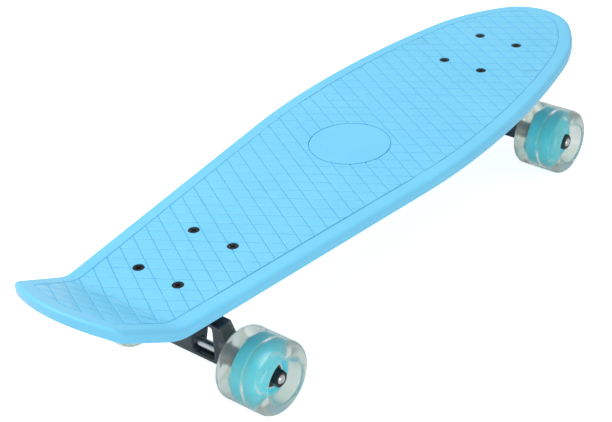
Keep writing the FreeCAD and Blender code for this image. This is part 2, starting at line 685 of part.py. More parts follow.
for end, place in trucks.items():
    on_kingpin = place.multiply(along_kingpin)
    node(end + "_baseplate", baseplate, [place])
    node(end + "_pivot_cup", pivot_cup, [place.multiply(at_pivot)])
    node(end + "_kingpin", kingpin, [on_kingpin])
    seat = Placement(Vector(0, kingnut_start, 0), Rotation(Vector(1, 0, 0), -90))
    node(end + "_kingpin_nut", kingpin_nut, [on_kingpin.multiply(seat)])
    node(end + "_board_washer", washers[0], [on_kingpin])
    node(end + "_board_bushing", barrel, [on_kingpin])
    node(end + "_road_bushing", cone, [on_kingpin])
    node(end + "_road_washer", washers[1], [on_kingpin])
    node(end + "_hanger", hanger, [place])
    node(end + "_axle", axle, [place.multiply(across(0))])
    node(end + "_axle_washers", axle_washer, [place.multiply(across(y)) for y in washer_spots])
    node(end + "_axle_nuts", axle_nut, [
        place.multiply(Placement(Vector(axle_spot.x, hand * nut_start, axle_spot.z), outward[hand]))
        for hand in (1, -1)
    ])

# ---------------------------------------------------------------- wheels
half_core = "Sizes.core_width / 2"
half_wheel = "Sizes.wheel_width / 2"
tyre_blank = turned("tyre_blank", [
    ("Sizes.core_radius", "-" + half_core), ("Sizes.dish_radius", "-" + half_core),
    ("Sizes.dish_radius", "-" + half_core + " - Sizes.dish_floor"),
    ("Sizes.lip_radius", "-" + half_wheel), ("Sizes.wheel_radius", "-" + half_wheel),
    ("Sizes.wheel_radius", half_wheel), ("Sizes.lip_radius", half_wheel),
    ("Sizes.dish_radius", half_core + " + Sizes.dish_floor"), ("Sizes.dish_radius", half_core),
    ("Sizes.core_radius", half_core),
])
doc.recompute()
shoulders = [
    number for number, edge in enumerate(tyre_blank.Shape.Edges, 1)
    if isinstance(edge.Curve, Part.Circle) and abs(edge.Curve.Radius - size("wheel_radius")) < touching
]
tyre = doc.addObject("Part::Fillet", "tyre_rounded")
tyre.Base = tyre_blank
tyre.Edges = [(number, size("wheel_round"), size("wheel_round")) for number in shoulders]

half_web = half_core + " - Sizes.bearing_width"
core = turned("core_moulding", [
    ("Sizes.bearing_radius", "-" + half_core), ("Sizes.core_radius", "-" + half_core),
    ("Sizes.core_radius", half_core), ("Sizes.bearing_radius", half_core),
    ("Sizes.bearing_radius", half_web), ("Sizes.core_web", half_web),
    ("Sizes.core_web", "-(" + half_web + ")"), ("Sizes.bearing_radius", "-(" + half_web + ")"),
])
spacer = ring("spacer_tube", "Sizes.axle_radius", "Sizes.spacer_radius", "-(" + half_web + ")", half_web)

half_bearing = "Sizes.bearing_width / 2"
track = bound("Part::Torus", "ball_track", Radius1="Sizes.ball_ring",
              Radius2="Sizes.ball_radius + Sizes.ball_clear")
track.Placement = Placement(Vector(), Rotation(Vector(1, 0, 0), 90))
outer_blank = ring("outer_race_blank", "Sizes.race_outer", "Sizes.bearing_radius",
                   "-" + half_bearing, half_bearing)
inner_blank = ring("inner_race_blank", "Sizes.axle_radius", "Sizes.race_inner",
                   "-" + half_bearing, half_bearing)
outer_race = boolean("Part::Cut", "outer_race", outer_blank, track)
inner_race = boolean("Part::Cut", "inner_race", inner_blank, track)
shield = ring("bearing_shield", "Sizes.race_inner + Sizes.shield_clear", "Sizes.race_outer",
              "-Sizes.shield_thickness / 2", "Sizes.shield_thickness / 2")
ball = bound("Part::Sphere", "bearing_ball", Radius="Sizes.ball_radius")
pocket = bound("Part::Cylinder", "cage_pocket", Radius="Sizes.ball_radius + Sizes.ball_clear",
               Height="Sizes.race_outer")
ball_turns = [2 * math.pi * i / ball_count for i in range(ball_count)]
ball_spots = [Vector(math.cos(turn), 0, math.sin(turn)) * size("ball_ring") for turn in ball_turns]
pockets = doc.addObject("Part::Compound", "cage_pockets")
pocket_links = []
for i, spot in enumerate(ball_spots):
    link = doc.addObject("App::Link", "cage_pocket%d" % i)
    link.LinkedObject = pocket
    link.Placement = Placement(Vector(), Rotation(Vector(0, 0, 1), spot))
    pocket_links.append(link)
pockets.Links = pocket_links
cage_blank = ring("cage_blank", "Sizes.ball_ring - Sizes.cage_wall / 2",
                  "Sizes.ball_ring + Sizes.cage_wall / 2", "-Sizes.cage_width / 2", "Sizes.cage_width / 2")
cage = boolean("Part::Cut", "ball_cage", cage_blank, pockets)

bearing_y = (size("core_width") - size("bearing_width")) / 2
shield_y = (size("bearing_width") - size("shield_thickness")) / 2
for end, place in trucks.items():
    for side, hand in (("left", 1), ("right", -1)):
        middle_y = hand * size("track_half")
        if end == "rear":
            middle_y = -middle_y
        name = "%s_%s_" % (end, side)
        bearings = [place.multiply(across(middle_y + y)) for y in (bearing_y, -bearing_y)]
        node(name + "tyre", tyre, [place.multiply(across(middle_y))])
        node(name + "core", core, [place.multiply(across(middle_y))])
        node(name + "spacer", spacer, [place.multiply(across(middle_y))])
        node(name + "outer_races", outer_race, bearings)
        node(name + "inner_races", inner_race, bearings)
        node(name + "ball_cages", cage, bearings)
        node(name + "bearing_balls", ball, [
            bearing.multiply(Placement(spot, Rotation())) for bearing in bearings for spot in ball_spots
        ])
        node(name + "bearing_shields", shield, [
            bearing.multiply(Placement(Vector(0, y, 0), Rotation()))
            for bearing in bearings for y in (shield_y, -shield_y)
        ])

# ---------------------------------------------------------------- checks and files
doc.recompute()
for item in doc.Objects:
    if "Invalid" in item.State or "Error" in item.State:
        raise RuntimeError("%s failed: %s" % (item.Label, item.State))
for item in nodes:
    if item.Shape.isNull() or not item.Shape.isValid() or not item.Shape.Solids:
        raise RuntimeError("%s has no valid solid" % item.Label)
for item in nodes:
    item.Shape.exportStep("parts/%s.step" % item.Label)
    print("%-28s %2d solid(s) %12.1f mm3" % (item.Label, len(item.Shape.Solids), item.Shape.Volume))
print(len(nodes), "sub-parts")
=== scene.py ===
import json
import math
import bmesh
import bpy
from mathutils import Matrix, Vector
from mathutils.geometry import convex_hull_2d


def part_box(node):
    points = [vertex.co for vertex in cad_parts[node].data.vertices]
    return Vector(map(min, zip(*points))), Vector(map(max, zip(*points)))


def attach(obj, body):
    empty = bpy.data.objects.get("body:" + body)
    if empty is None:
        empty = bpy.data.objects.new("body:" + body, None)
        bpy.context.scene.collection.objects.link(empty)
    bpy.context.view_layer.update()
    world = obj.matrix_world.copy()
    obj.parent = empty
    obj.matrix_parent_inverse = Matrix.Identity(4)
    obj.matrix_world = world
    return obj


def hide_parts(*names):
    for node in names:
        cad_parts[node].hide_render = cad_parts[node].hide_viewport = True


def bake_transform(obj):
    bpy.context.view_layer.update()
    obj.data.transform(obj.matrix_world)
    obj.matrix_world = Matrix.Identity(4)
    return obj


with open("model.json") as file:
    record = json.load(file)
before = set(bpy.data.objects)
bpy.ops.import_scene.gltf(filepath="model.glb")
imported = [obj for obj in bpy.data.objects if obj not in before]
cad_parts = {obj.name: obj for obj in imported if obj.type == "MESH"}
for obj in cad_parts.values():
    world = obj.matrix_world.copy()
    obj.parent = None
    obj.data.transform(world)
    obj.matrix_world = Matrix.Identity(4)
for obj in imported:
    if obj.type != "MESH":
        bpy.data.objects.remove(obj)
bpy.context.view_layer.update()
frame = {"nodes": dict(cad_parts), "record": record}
cadNodes = frame["nodes"]
mm = 0.001
grainDepth = 0.2 * mm  # how deep a moulded or turned surface's bump is
ends = ("front", "rear")
sides = ("left", "right")
wheels = [end + "_" + side for end in ends for side in sides]


# shared shader effects
def newGroup(name, inputs, outputs):
    group = bpy.data.node_groups.new(name, "ShaderNodeTree")
    for label, kind, value in inputs:
        socket = group.interface.new_socket(name=label, in_out="INPUT", socket_type=kind)
        if value is not None:
            socket.default_value = value
    for label, kind in outputs:
        group.interface.new_socket(name=label, in_out="OUTPUT", socket_type=kind)
    return group, group.nodes.new("NodeGroupInput"), group.nodes.new("NodeGroupOutput")


def addNode(tree, kind, **settings):
    node = tree.nodes.new(kind)
    for key, value in settings.items():
        setattr(node, key, value)
    return node


def addMath(tree, operation, first, second):
    node = addNode(tree, "ShaderNodeMath", operation=operation)
    for index, value in enumerate((first, second)):
        if isinstance(value, (int, float)):
            node.inputs[index].default_value = value
        else:
            tree.links.new(value, node.inputs[index])
    return node.outputs[0]


def addMix(tree, factor, first, second):
    # plain colour mix; each of the three may be a value or a socket
    node = addNode(tree, "ShaderNodeMix", data_type="RGBA")
    for index, value in ((0, factor), (6, first), (7, second)):
        if isinstance(value, (int, float, tuple)):
            node.inputs[index].default_value = value
        else:
            tree.links.new(value, node.inputs[index])
    return node.outputs[2]


def addNoise(tree, vector, scale, detail):
    node = addNode(tree, "ShaderNodeTexNoise")
    node.inputs["Detail"].default_value = detail
    if isinstance(scale, (int, float)):
        node.inputs["Scale"].default_value = scale
    else:
        tree.links.new(scale, node.inputs["Scale"])
    tree.links.new(vector, node.inputs["Vector"])
    return node.outputs[0]


def addBand(tree, value, low, high):
    # 0 below low, 1 above high
    node = addNode(tree, "ShaderNodeMapRange")
    tree.links.new(value, node.inputs["Value"])
    node.inputs["From Min"].default_value = low
    node.inputs["From Max"].default_value = high
    return node.outputs[0]


def makeGrainGroup():
    group, start, end = newGroup(
        "mouldedGrain",
        [("Vector", "NodeSocketVector", None), ("Scale", "NodeSocketFloat", 600.0),
         ("Light", "NodeSocketColor", (0.8, 0.8, 0.8, 1)), ("Dark", "NodeSocketColor", (0.7, 0.7, 0.7, 1)),
         ("Smooth", "NodeSocketFloat", 0.25), ("Rough", "NodeSocketFloat", 0.4)],
        [("Color", "NodeSocketColor"), ("Roughness", "NodeSocketFloat"), ("Height", "NodeSocketFloat")])
    fine = addNoise(group, start.outputs["Vector"], start.outputs["Scale"], 2.0)
    cloud = addNoise(group, start.outputs["Vector"], 14.0, 4.0)
    flow = addBand(group, cloud, 0.32, 0.68)
    group.links.new(addMix(group, flow, start.outputs["Dark"], start.outputs["Light"]), end.inputs["Color"])
    halfFine = addMath(group, "MULTIPLY", fine, 0.5)
    blend = addMath(group, "ADD", halfFine, addMath(group, "MULTIPLY", flow, 0.5))
    span = addMath(group, "SUBTRACT", start.outputs["Rough"], start.outputs["Smooth"])
    group.links.new(addMath(group, "ADD", start.outputs["Smooth"], addMath(group, "MULTIPLY", span, blend)),
                    end.inputs["Roughness"])
    group.links.new(fine, end.inputs["Height"])
    return group


def makeScuffGroup():
    group, start, end = newGroup(
        "fineScuffs",
        [("Vector", "NodeSocketVector", None), ("Turn", "NodeSocketVector", (0.0, 0.0, 0.6)),
         ("Amount", "NodeSocketFloat", 0.5)],
        [("Mask", "NodeSocketFloat")])
    mapping = addNode(group, "ShaderNodeMapping")
    mapping.inputs["Scale"].default_value = (20.0, 700.0, 300.0)
    group.links.new(start.outputs["Vector"], mapping.inputs["Vector"])
    group.links.new(start.outputs["Turn"], mapping.inputs["Rotation"])
    streak = addBand(group, addNoise(group, mapping.outputs[0], 1.0, 2.0), 0.66, 0.74)
    patch = addBand(group, addNoise(group, start.outputs["Vector"], 9.0, 2.0), 0.5, 0.62)
    both = addMath(group, "MULTIPLY", streak, patch)
    group.links.new(addMath(group, "MULTIPLY", both, start.outputs["Amount"]), end.inputs["Mask"])
    return group


def makeCastGroup():
    group, start, end = newGroup(
        "castSkin",
        [("Vector", "NodeSocketVector", None), ("Scale", "NodeSocketFloat", 900.0),
         ("Coat", "NodeSocketColor", (0.03, 0.04, 0.05, 1)), ("Bare", "NodeSocketColor", (0.5, 0.5, 0.5, 1)),
         ("Wear", "NodeSocketFloat", 0.3)],
        [("Color", "NodeSocketColor"), ("Roughness", "NodeSocketFloat"), ("Height", "NodeSocketFloat")])
    pits = addNode(group, "ShaderNodeTexVoronoi")
    group.links.new(start.outputs["Vector"], pits.inputs["Vector"])
    group.links.new(start.outputs["Scale"], pits.inputs["Scale"])
    cloud = addNoise(group, start.outputs["Vector"], 60.0, 5.0)
    rub = addBand(group, cloud, 0.62, 0.72)
    worn = addMath(group, "MULTIPLY", rub, start.outputs["Wear"])
    group.links.new(addMix(group, worn, start.outputs["Coat"], start.outputs["Bare"]), end.inputs["Color"])
    finish = addMath(group, "ADD", addMath(group, "MULTIPLY", cloud, 0.3), 0.22)
    group.links.new(finish, end.inputs["Roughness"])
    group.links.new(addMath(group, "ADD", pits.outputs["Distance"], cloud), end.inputs["Height"])
    return group


grainGroup = makeGrainGroup()
scuffGroup = makeScuffGroup()
castGroup = makeCastGroup()


def newMaterial(name):
    material = bpy.data.materials.new(name)
    material.use_nodes = True
    tree = material.node_tree
    tree.nodes.clear()
    output = addNode(tree, "ShaderNodeOutputMaterial")
    shader = addNode(tree, "ShaderNodeBsdfPrincipled")
    tree.links.new(shader.outputs[0], output.inputs["Surface"])
    place = addNode(tree, "ShaderNodeTexCoord").outputs["Object"]
    return material, tree, shader, place


def useGroup(tree, group, place, **values):
    node = addNode(tree, "ShaderNodeGroup", node_tree=group)
    tree.links.new(place, node.inputs["Vector"])
    for key, value in values.items():
        node.inputs[key].default_value = value
    return node


def addBump(tree, shader, height, strength, distance):
    bump = addNode(tree, "ShaderNodeBump")
    bump.inputs["Strength"].default_value = strength
    bump.inputs["Distance"].default_value = distance
    tree.links.new(height, bump.inputs["Height"])
    tree.links.new(bump.outputs[0], shader.inputs["Normal"])


def mixShaders(tree, factor, first, second):
    # first where factor is 0 and second where it is 1, as the material's surface
    choose = addNode(tree, "ShaderNodeMixShader")
    for index, socket in enumerate((factor, first, second)):
        tree.links.new(socket, choose.inputs[index])
    output = next(n for n in tree.nodes if n.type == "OUTPUT_MATERIAL")
    tree.links.new(choose.outputs[0], output.inputs["Surface"])


def makePlastic(name, light, dark, smooth, rough, scale, bump):
    material, tree, shader, place = newMaterial(name)
    grain = useGroup(tree, grainGroup, place, Scale=scale, Light=light, Dark=dark, Smooth=smooth, Rough=rough)
    tree.links.new(grain.outputs["Color"], shader.inputs["Base Color"])
    tree.links.new(grain.outputs["Roughness"], shader.inputs["Roughness"])
    addBump(tree, shader, grain.outputs["Height"], bump, grainDepth)
    return material


def makeMetal(name, light, dark, smooth, rough, scale, bump):
    material = makePlastic(name, light, dark, smooth, rough, scale, bump)
    material.node_tree.nodes["Principled BSDF"].inputs["Metallic"].default_value = 1.0
    return material


# the deck's blue, with painted shade (a darker blue) at the bottoms of its grooves
deckPaint = {
    "light": (0.178, 0.635, 0.92, 1),
    "dark": (0.160, 0.605, 0.90, 1),
    # painted shade: the darker blue laid into the groove bottoms
    "groove": (0.08, 0.43, 0.73, 1),
    "grooveShare": 0.8,
    "scuff": (0.5, 0.8, 0.95, 1),
    "scuffAmount": 0.25,
    "smooth": 0.3,
    "rough": 0.42,
    "bump": 0.12,
}


def makeDeckPlastic():
    look = deckPaint
    material, tree, shader, place = newMaterial("skyBlueDeckPlastic")
    grain = useGroup(tree, grainGroup, place, Scale=1400.0, Light=look["light"], Dark=look["dark"],
                     Smooth=look["smooth"], Rough=look["rough"])
    sunk = addNode(tree, "ShaderNodeAttribute", attribute_name="grooveDepth").outputs["Fac"]
    grooveShadeAndRough = addMath(tree, "MULTIPLY", sunk, look["grooveShare"])
    marks = useGroup(tree, scuffGroup, place, Amount=look["scuffAmount"]).outputs["Mask"]
    # painted shade: the groove bottoms are mixed toward a darker blue; the same mask also makes them rougher
    colour = addMix(tree, grooveShadeAndRough, grain.outputs["Color"], look["groove"])
    colour = addMix(tree, marks, colour, look["scuff"])
    tree.links.new(colour, shader.inputs["Base Color"])
    finish = addMath(tree, "ADD", grain.outputs["Roughness"], addMath(tree, "MULTIPLY", grooveShadeAndRough, 0.2))
    tree.links.new(finish, shader.inputs["Roughness"])
    addBump(tree, shader, grain.outputs["Height"], look["bump"], grainDepth)
    return material


def makeUrethane():
    # clear cast urethane: glass for what is seen, tinted light for what falls through
    material, tree, shader, place = newMaterial("clearWheelUrethane")
    grain = useGroup(tree, grainGroup, place, Scale=300.0, Light=(0.95, 0.965, 0.88, 1),
                     Dark=(0.93, 0.95, 0.86, 1), Smooth=0.12, Rough=0.22)
    tree.links.new(grain.outputs["Color"], shader.inputs["Base Color"])
    tree.links.new(grain.outputs["Roughness"], shader.inputs["Roughness"])
    shader.inputs["IOR"].default_value = 1.49
    shader.inputs["Transmission Weight"].default_value = 0.9
    clear = addNode(tree, "ShaderNodeBsdfTransparent")
    clear.inputs["Color"].default_value = (0.86, 0.93, 0.88, 1)
    path = addNode(tree, "ShaderNodeLightPath")
    mixShaders(tree, path.outputs["Is Shadow Ray"], shader.outputs[0], clear.outputs[0])
    return material


def makeCastMaterial():
    material, tree, shader, place = newMaterial("blackTruckCasting")
    skin = useGroup(tree, castGroup, place, Scale=1100.0, Coat=(0.016, 0.026, 0.036, 1),
                    Bare=(0.30, 0.33, 0.36, 1), Wear=0.25)
    tree.links.new(skin.outputs["Color"], shader.inputs["Base Color"])
    tree.links.new(skin.outputs["Roughness"], shader.inputs["Roughness"])
    shader.inputs["Coat Weight"].default_value = 0.5
    shader.inputs["Coat Roughness"].default_value = 0.15
    addBump(tree, shader, skin.outputs["Height"], 0.15, 0.0003)
    return material


materials = {
    "deck_plastic": makeDeckPlastic(),
    "clear_urethane": makeUrethane(),
    "black_casting": makeCastMaterial(),
    "zinc_steel": makeMetal(
        "zincPlatedSteel", (0.72, 0.73, 0.74, 1), (0.58, 0.59, 0.60, 1), 0.16, 0.34, 900.0, 0.08),
    "black_steel": makeMetal(
        "blackOxideSteel", (0.07, 0.08, 0.085, 1), (0.03, 0.035, 0.04, 1), 0.25, 0.45, 800.0, 0.1),
    "bearing_steel": makeMetal(
        "groundBearingSteel", (0.80, 0.81, 0.82, 1), (0.70, 0.71, 0.72, 1), 0.08, 0.2, 1500.0, 0.04),
    "black_plastic": makePlastic(
        "mattBlackPlastic", (0.02, 0.022, 0.025, 1), (0.012, 0.013, 0.015, 1), 0.4, 0.6, 900.0, 0.1),
    "bushing_urethane": makePlastic(
        "paleBushingUrethane", (0.70, 0.78, 0.80, 1), (0.62, 0.70, 0.73, 1), 0.28, 0.45, 500.0, 0.08),
    "core_plastic": makePlastic(
        "cyanCorePlastic", (0.035, 0.80, 1.0, 1), (0.025, 0.72, 0.96, 1), 0.22, 0.38, 700.0, 0.06),
}
slotOf = {item["node"]: item["material_slot"] for item in frame["record"]["subparts"]}
for name, item in cadNodes.items():
    item.data.materials.clear()
    item.data.materials.append(materials[slotOf[name]])
print("materials ready", len(materials))


# modelling helpers
def finishPiece(name, bm, body, slot, stands=(), sharpAngle=32.0):
    mesh = bpy.data.meshes.new(name)
    bm.to_mesh(mesh)
    bm.free()
    custom = mesh.attributes.get("custom_normal")  # a CAD copy's own normals no longer fit it
    if custom:
        mesh.attributes.remove(custom)
    mesh.shade_smooth()
    mesh.set_sharp_from_angle(angle=math.radians(sharpAngle))
    mesh.materials.append(materials[slot])
    piece = bpy.data.objects.new(name, mesh)
    bpy.context.scene.collection.objects.link(piece)
    if body:
        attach(piece, body)
    if stands:
        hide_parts(*stands)
    return piece


def cadCopy(node, flat=0.3):
    # a CAD node's mesh as merged faces, with its flat areas joined up
    bm = bmesh.new()
    bm.from_mesh(cadNodes[node].data)
    bmesh.ops.remove_doubles(bm, verts=bm.verts, dist=2e-6)
    if flat:
        bmesh.ops.dissolve_limit(bm, angle_limit=math.radians(flat), verts=bm.verts, edges=bm.edges)
    return bm


def spun(profile, place, steps):
    # turns a closed outline of (radius, along) points about the Y axis, then puts it in place
    bm = bmesh.new()
    verts = [bm.verts.new((radius, along, 0.0)) for radius, along in profile]
    edges = [bm.edges.new(pair) for pair in zip(verts, verts[1:] + verts[:1])]
    bmesh.ops.spin(bm, geom=verts + edges, cent=(0, 0, 0), axis=(0, 1, 0), angle=2 * math.pi,
                   steps=steps, use_merge=True, use_duplicate=False)
    bmesh.ops.remove_doubles(bm, verts=bm.verts, dist=1e-6)
    bmesh.ops.recalc_face_normals(bm, faces=bm.faces)
    bmesh.ops.transform(bm, matrix=place, verts=bm.verts)
    return bm


def rounded(points, steps):
    # an open (radius, along) outline with its corners rounded, each given as (r, a, round)
    result = []
    for index, (r, a, fillet) in enumerate(points):
        corner = Vector((r, a))
        if not fillet or index in (0, len(points) - 1):
            result.append((r, a))
            continue
        before = (Vector(points[index - 1][:2]) - corner).normalized() * fillet
        after = (Vector(points[index + 1][:2]) - corner).normalized() * fillet
        for step in range(steps + 1):
            t = step / steps
            spot = corner + before * (1 - t) ** 2 + after * t ** 2
            result.append((spot.x, spot.y))
    return result


# the deck
deckLook = {
    "rimRound": 4.6 * mm,
    "rimSteps": 6,
    "rimMargin": 0.92 * mm,  # flat kept just inside the rounded rim
    "footRound": 1.2 * mm,
    "footSteps": 3,
    "rimWall": 6.3 * mm,
    "fieldInset": 13.75 * mm,
    "grooveWidth": 1.6 * mm,
    "grooveDepth": 0.55 * mm,
    "latticeAngle": 59.0,
    "latticePitch": 13.25 * mm,
    "smoothDisc": 36.865 * mm,  # a hair outside the disc's edge
    "shortestSide": 0.2 * mm,  # of the outline, to take up in its planes
}
level = 0.8  # a face or vertex whose normal is at least this upright
near = 0.02 * mm


def outlinePlanes(bm):
    # (point, outward normal) of each side of the deck seen from above, which is convex
    flat = [v.co.xy for v in bm.verts]
    ring = [flat[i] for i in convex_hull_2d(flat)]
    middle = sum(ring, Vector((0, 0))) / len(ring)
    planes = []
    for first, second in zip(ring, ring[1:] + ring[:1]):
        side = second - first
        if side.length < deckLook["shortestSide"]:
            continue
        normal = Vector((side.y, -side.x)).normalized()
        if normal.dot(first - middle) < 0:
            normal.negate()
        planes.append((first.copy(), normal))
    return planes


def insetOf(planes, spot):
    return min((point - spot).dot(normal) for point, normal in planes)


def cutFaces(bm, faces, point, normal):
    # cuts these faces by a plane and gives all their parts
    parts = dict.fromkeys(faces)
    for face in faces:
        parts.update(dict.fromkeys(face.edges))
        parts.update(dict.fromkeys(face.verts))
    result = bmesh.ops.bisect_plane(bm, geom=list(parts), dist=1e-7, plane_co=point, plane_no=normal)
    return [part for part in result["geom"] if isinstance(part, bmesh.types.BMFace)]


def cutRing(bm, faces, planes, inset):
    # cuts along a line parallel to the outline and gives the faces inside it
    for point, normal in planes:
        shifted = point - normal * inset
        plane = Vector((shifted.x, shifted.y, 0))
        way = Vector((normal.x, normal.y, 0))
        reach = [f for f in faces if any((v.co - plane).dot(way) > 1e-6 for v in f.verts)]
        if not reach:
            continue
        keep = dict.fromkeys(faces)
        for face in reach:
            keep.pop(face)
        parts = cutFaces(bm, reach, plane, way)
        inside = [f for f in parts if (f.calc_center_median() - plane).dot(way) < 0]
        faces = list(keep) + inside
    return faces


def cutRim(bm, faces, planes, radius, steps):
    # rings that the rounding of these faces' outer edge needs; gives the faces inside them
    for step in range(1, steps + 1):
        angle = math.pi / 2 * step / steps
        faces = cutRing(bm, faces, planes, radius * (1 - math.cos(angle)))
    return faces


def rimDrop(radius, inset):
    if inset >= radius:
        return 0.0
    return radius - math.sqrt(max(0.0, radius ** 2 - (radius - inset) ** 2))


def cutLattice(bm, field, top, families):
    # three cuts for each line of the lattice: its two shoulders and its bottom
    look = deckLook
    half = look["grooveWidth"] / 2
    for normal in families:
        reach = [(v.co - top).dot(normal) for f in field for v in f.verts]
        first = math.ceil(min(reach) / look["latticePitch"])
        last = math.floor(max(reach) / look["latticePitch"])
        for line in range(first, last + 1):
            for shift in (-half, 0, half):
                point = top + normal * (line * look["latticePitch"] + shift)
                crossed = []
                clear = []
                for face in field:
                    ways = [(v.co - point).dot(normal) for v in face.verts]
                    (crossed if min(ways) < -1e-7 and max(ways) > 1e-7 else clear).append(face)
                field = clear + (cutFaces(bm, crossed, point, normal) if crossed else [])
    return field


def grooveVerts(bm, field, planes, top, families):
    # the bottoms of the lattice's grooves, and of the one groove round them
    look = deckLook
    sunk = {}
    for vert in dict.fromkeys(v for f in field for v in f.verts):
        ratios = [(vert.co - top).dot(normal) / look["latticePitch"] for normal in families]
        if min(abs(ratio - round(ratio)) for ratio in ratios) * look["latticePitch"] < near:
            sunk[vert] = True
    for vert in bm.verts:
        if abs(insetOf(planes, vert.co.xy) - look["fieldInset"]) < near and vert.normal.z > level:
            sunk[vert] = True
    return sunk


def makeDeck():
    look = deckLook
    bm = cadCopy("deck", 0)
    depth = bm.verts.layers.float.new("grooveDepth")
    top = Vector(frame["record"]["mounts"][0]["pos_m"])
    planes = outlinePlanes(bm)
    upper = [f for f in bm.faces if f.normal.z > level and f.calc_center_median().z > top.z - 0.01 * mm]
    lower = [f for f in bm.faces if f.normal.z < -level
             and all(insetOf(planes, v.co.xy) < look["rimWall"] for v in f.verts)]
    inner = cutRim(bm, upper, planes, look["rimRound"], look["rimSteps"])
    inner = cutRing(bm, inner, planes, look["rimRound"] + look["rimMargin"])
    cutRim(bm, lower, planes, look["footRound"], look["footSteps"])

    half = look["grooveWidth"] / 2
    for shift in (-half, 0, half):
        inner = cutRing(bm, inner, planes, look["fieldInset"] + shift)
    field = [f for f in inner if any((v.co.xy - top.xy).length > look["smoothDisc"] for v in f.verts)]
    angle = math.radians(look["latticeAngle"])
    families = [Vector((math.sin(angle), hand * math.cos(angle), 0)) for hand in (-1, 1)]
    field = cutLattice(bm, field, top, families)
    sunk = grooveVerts(bm, field, planes, top, families)

    drops = []
    for vert in bm.verts:
        inset = insetOf(planes, vert.co.xy)
        if vert in sunk:
            vert[depth] = 1.0
            drops.append((vert, -look["grooveDepth"]))
        elif inset < look["rimRound"]:
            up = any(f.normal.z > level for f in vert.link_faces)
            down = any(f.normal.z < -level for f in vert.link_faces)
            if up:
                drops.append((vert, -rimDrop(look["rimRound"], inset)))
            elif down and inset < look["footRound"]:
                drops.append((vert, rimDrop(look["footRound"], inset)))
    for vert, drop in drops:
        vert.co.z += drop
    bm.normal_update()
    print("deck faces", len(bm.faces))
    return finishPiece("deckMoulding", bm, "deck", "deck_plastic", ["deck"], 28.0)


makeDeck()
print("deck done")

# wheels: clear tyre cast round a coloured core
wheelLook = {
    "treadRound": 7.0 * mm,
    "treadSteps": 8,
    "lipRound": 1.6 * mm,
    "lipFlat": 0.6 * mm,  # flat of the side before the lip turns in
    "lipRadius": 20.0 * mm,
    "dishRadius": 13.0 * mm,
    "dishFlare": 2.2 * mm,
    "dishRise": 2.4 * mm,
    "dishRound": 2.0 * mm,
    "throatRise": 0.6 * mm,
    "throatRound": 0.3 * mm,
    "coreRadius": 18.0 * mm,
    "coreHalf": 12.0 * mm,
    "bond": 0.12 * mm,  # how far the core reaches into the tyre
    "waistDepth": 0.5 * mm,  # shallow groove round the core's middle
    "waistHalf": 1.0 * mm,
    "waistSlope": 0.4 * mm,
    "waistRound": 0.3 * mm,
    "coreRound": 0.8 * mm,
    "seatRound": 0.4 * mm,
    "bearingRadius": 11.0 * mm,
    "bearingWidth": 7.0 * mm,
    "coreWeb": 8.6 * mm,
    "turnSteps": 128,
}


def wheelPlace(name):
    low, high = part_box(name + "_tyre")
    middle = (low + high) / 2
    return middle, (high.z - low.z) / 2, (high.y - low.y) / 2


def makeTyre(name):
    look = wheelLook
    middle, radius, half = wheelPlace(name)
    quarter = look["treadRound"]
    outer = []
    for step in range(look["treadSteps"] + 1):
        angle = math.pi / 2 * step / look["treadSteps"]
        outer.append((radius - quarter * (1 - math.cos(angle)), half - quarter * (1 - math.sin(angle))))
    face = rounded([
        (radius - quarter, half, 0),
        (look["lipRadius"] + look["lipFlat"], half, look["lipRound"]),
        (look["dishRadius"] + look["dishFlare"], look["coreHalf"] + look["dishRise"], look["dishRound"]),
        (look["dishRadius"], look["coreHalf"] + look["throatRise"], look["throatRound"]),
        (look["dishRadius"], look["coreHalf"], 0),
        (look["coreRadius"], look["coreHalf"], 0),
    ], 5)
    side = outer[:-1] + face
    profile = [(radius, 0.0)] + side + [(r, -a) for r, a in reversed(side)]
    bm = spun(profile, Matrix.Translation(middle), look["turnSteps"])
    return finishPiece(name + "_tyreCast", bm, name + "_wheel", "clear_urethane", [name + "_tyre"], 40.0)


def makeCore(name):
    look = wheelLook
    middle = wheelPlace(name)[0]
    radius = look["coreRadius"] + look["bond"]
    half = look["coreHalf"] + look["bond"]
    web = half - look["bearingWidth"] - look["bond"]
    side = rounded([
        (radius - look["waistDepth"], 0.0, 0),
        (radius - look["waistDepth"], look["waistHalf"], look["waistRound"]),
        (radius, look["waistHalf"] + look["waistSlope"], look["waistRound"]),
        (radius, half, look["coreRound"]),
        (look["bearingRadius"], half, look["seatRound"]),
        (look["bearingRadius"], web, 0),
        (look["coreWeb"], web, 0),
        (look["coreWeb"], 0.0, 0),
    ], 4)
    profile = side + [(r, -a) for r, a in reversed(side[1:-1])]
    bm = spun(profile, Matrix.Translation(middle), look["turnSteps"])
    return finishPiece(name + "_coreMoulding", bm, name + "_wheel", "core_plastic", [name + "_core"], 40.0)


for name in wheels:
    makeTyre(name)
    makeCore(name)
print("wheels done")


# trucks: cast parts get soft edges
castLook = {
    "voxel": 0.9 * mm,
    "smoothing": 4,
    "blend": 0.5,
}


def makeCasting(node, pieceName, body):
    bm = cadCopy(node, 0)
    mesh = bpy.data.meshes.new(pieceName)
    bm.to_mesh(mesh)
    bm.free()
    blank = bpy.data.objects.new(pieceName + "Blank", mesh)
    bpy.context.scene.collection.objects.link(blank)
    remesh = blank.modifiers.new("voxels", "REMESH")
    remesh.mode = "VOXEL"
    remesh.voxel_size = castLook["voxel"]
    bpy.context.view_layer.update()
    shape = bpy.data.meshes.new_from_object(blank.evaluated_get(bpy.context.evaluated_depsgraph_get()))
    bm = bmesh.new()
    bm.from_mesh(shape)
    for _ in range(castLook["smoothing"]):
        bmesh.ops.smooth_vert(bm, verts=bm.verts, factor=castLook["blend"],
                              use_axis_x=True, use_axis_y=True, use_axis_z=True)
    bpy.data.objects.remove(blank)
    print(pieceName, len(bm.faces), "faces")
    return finishPiece(pieceName, bm, body, slotOf[node], [node], 60.0)


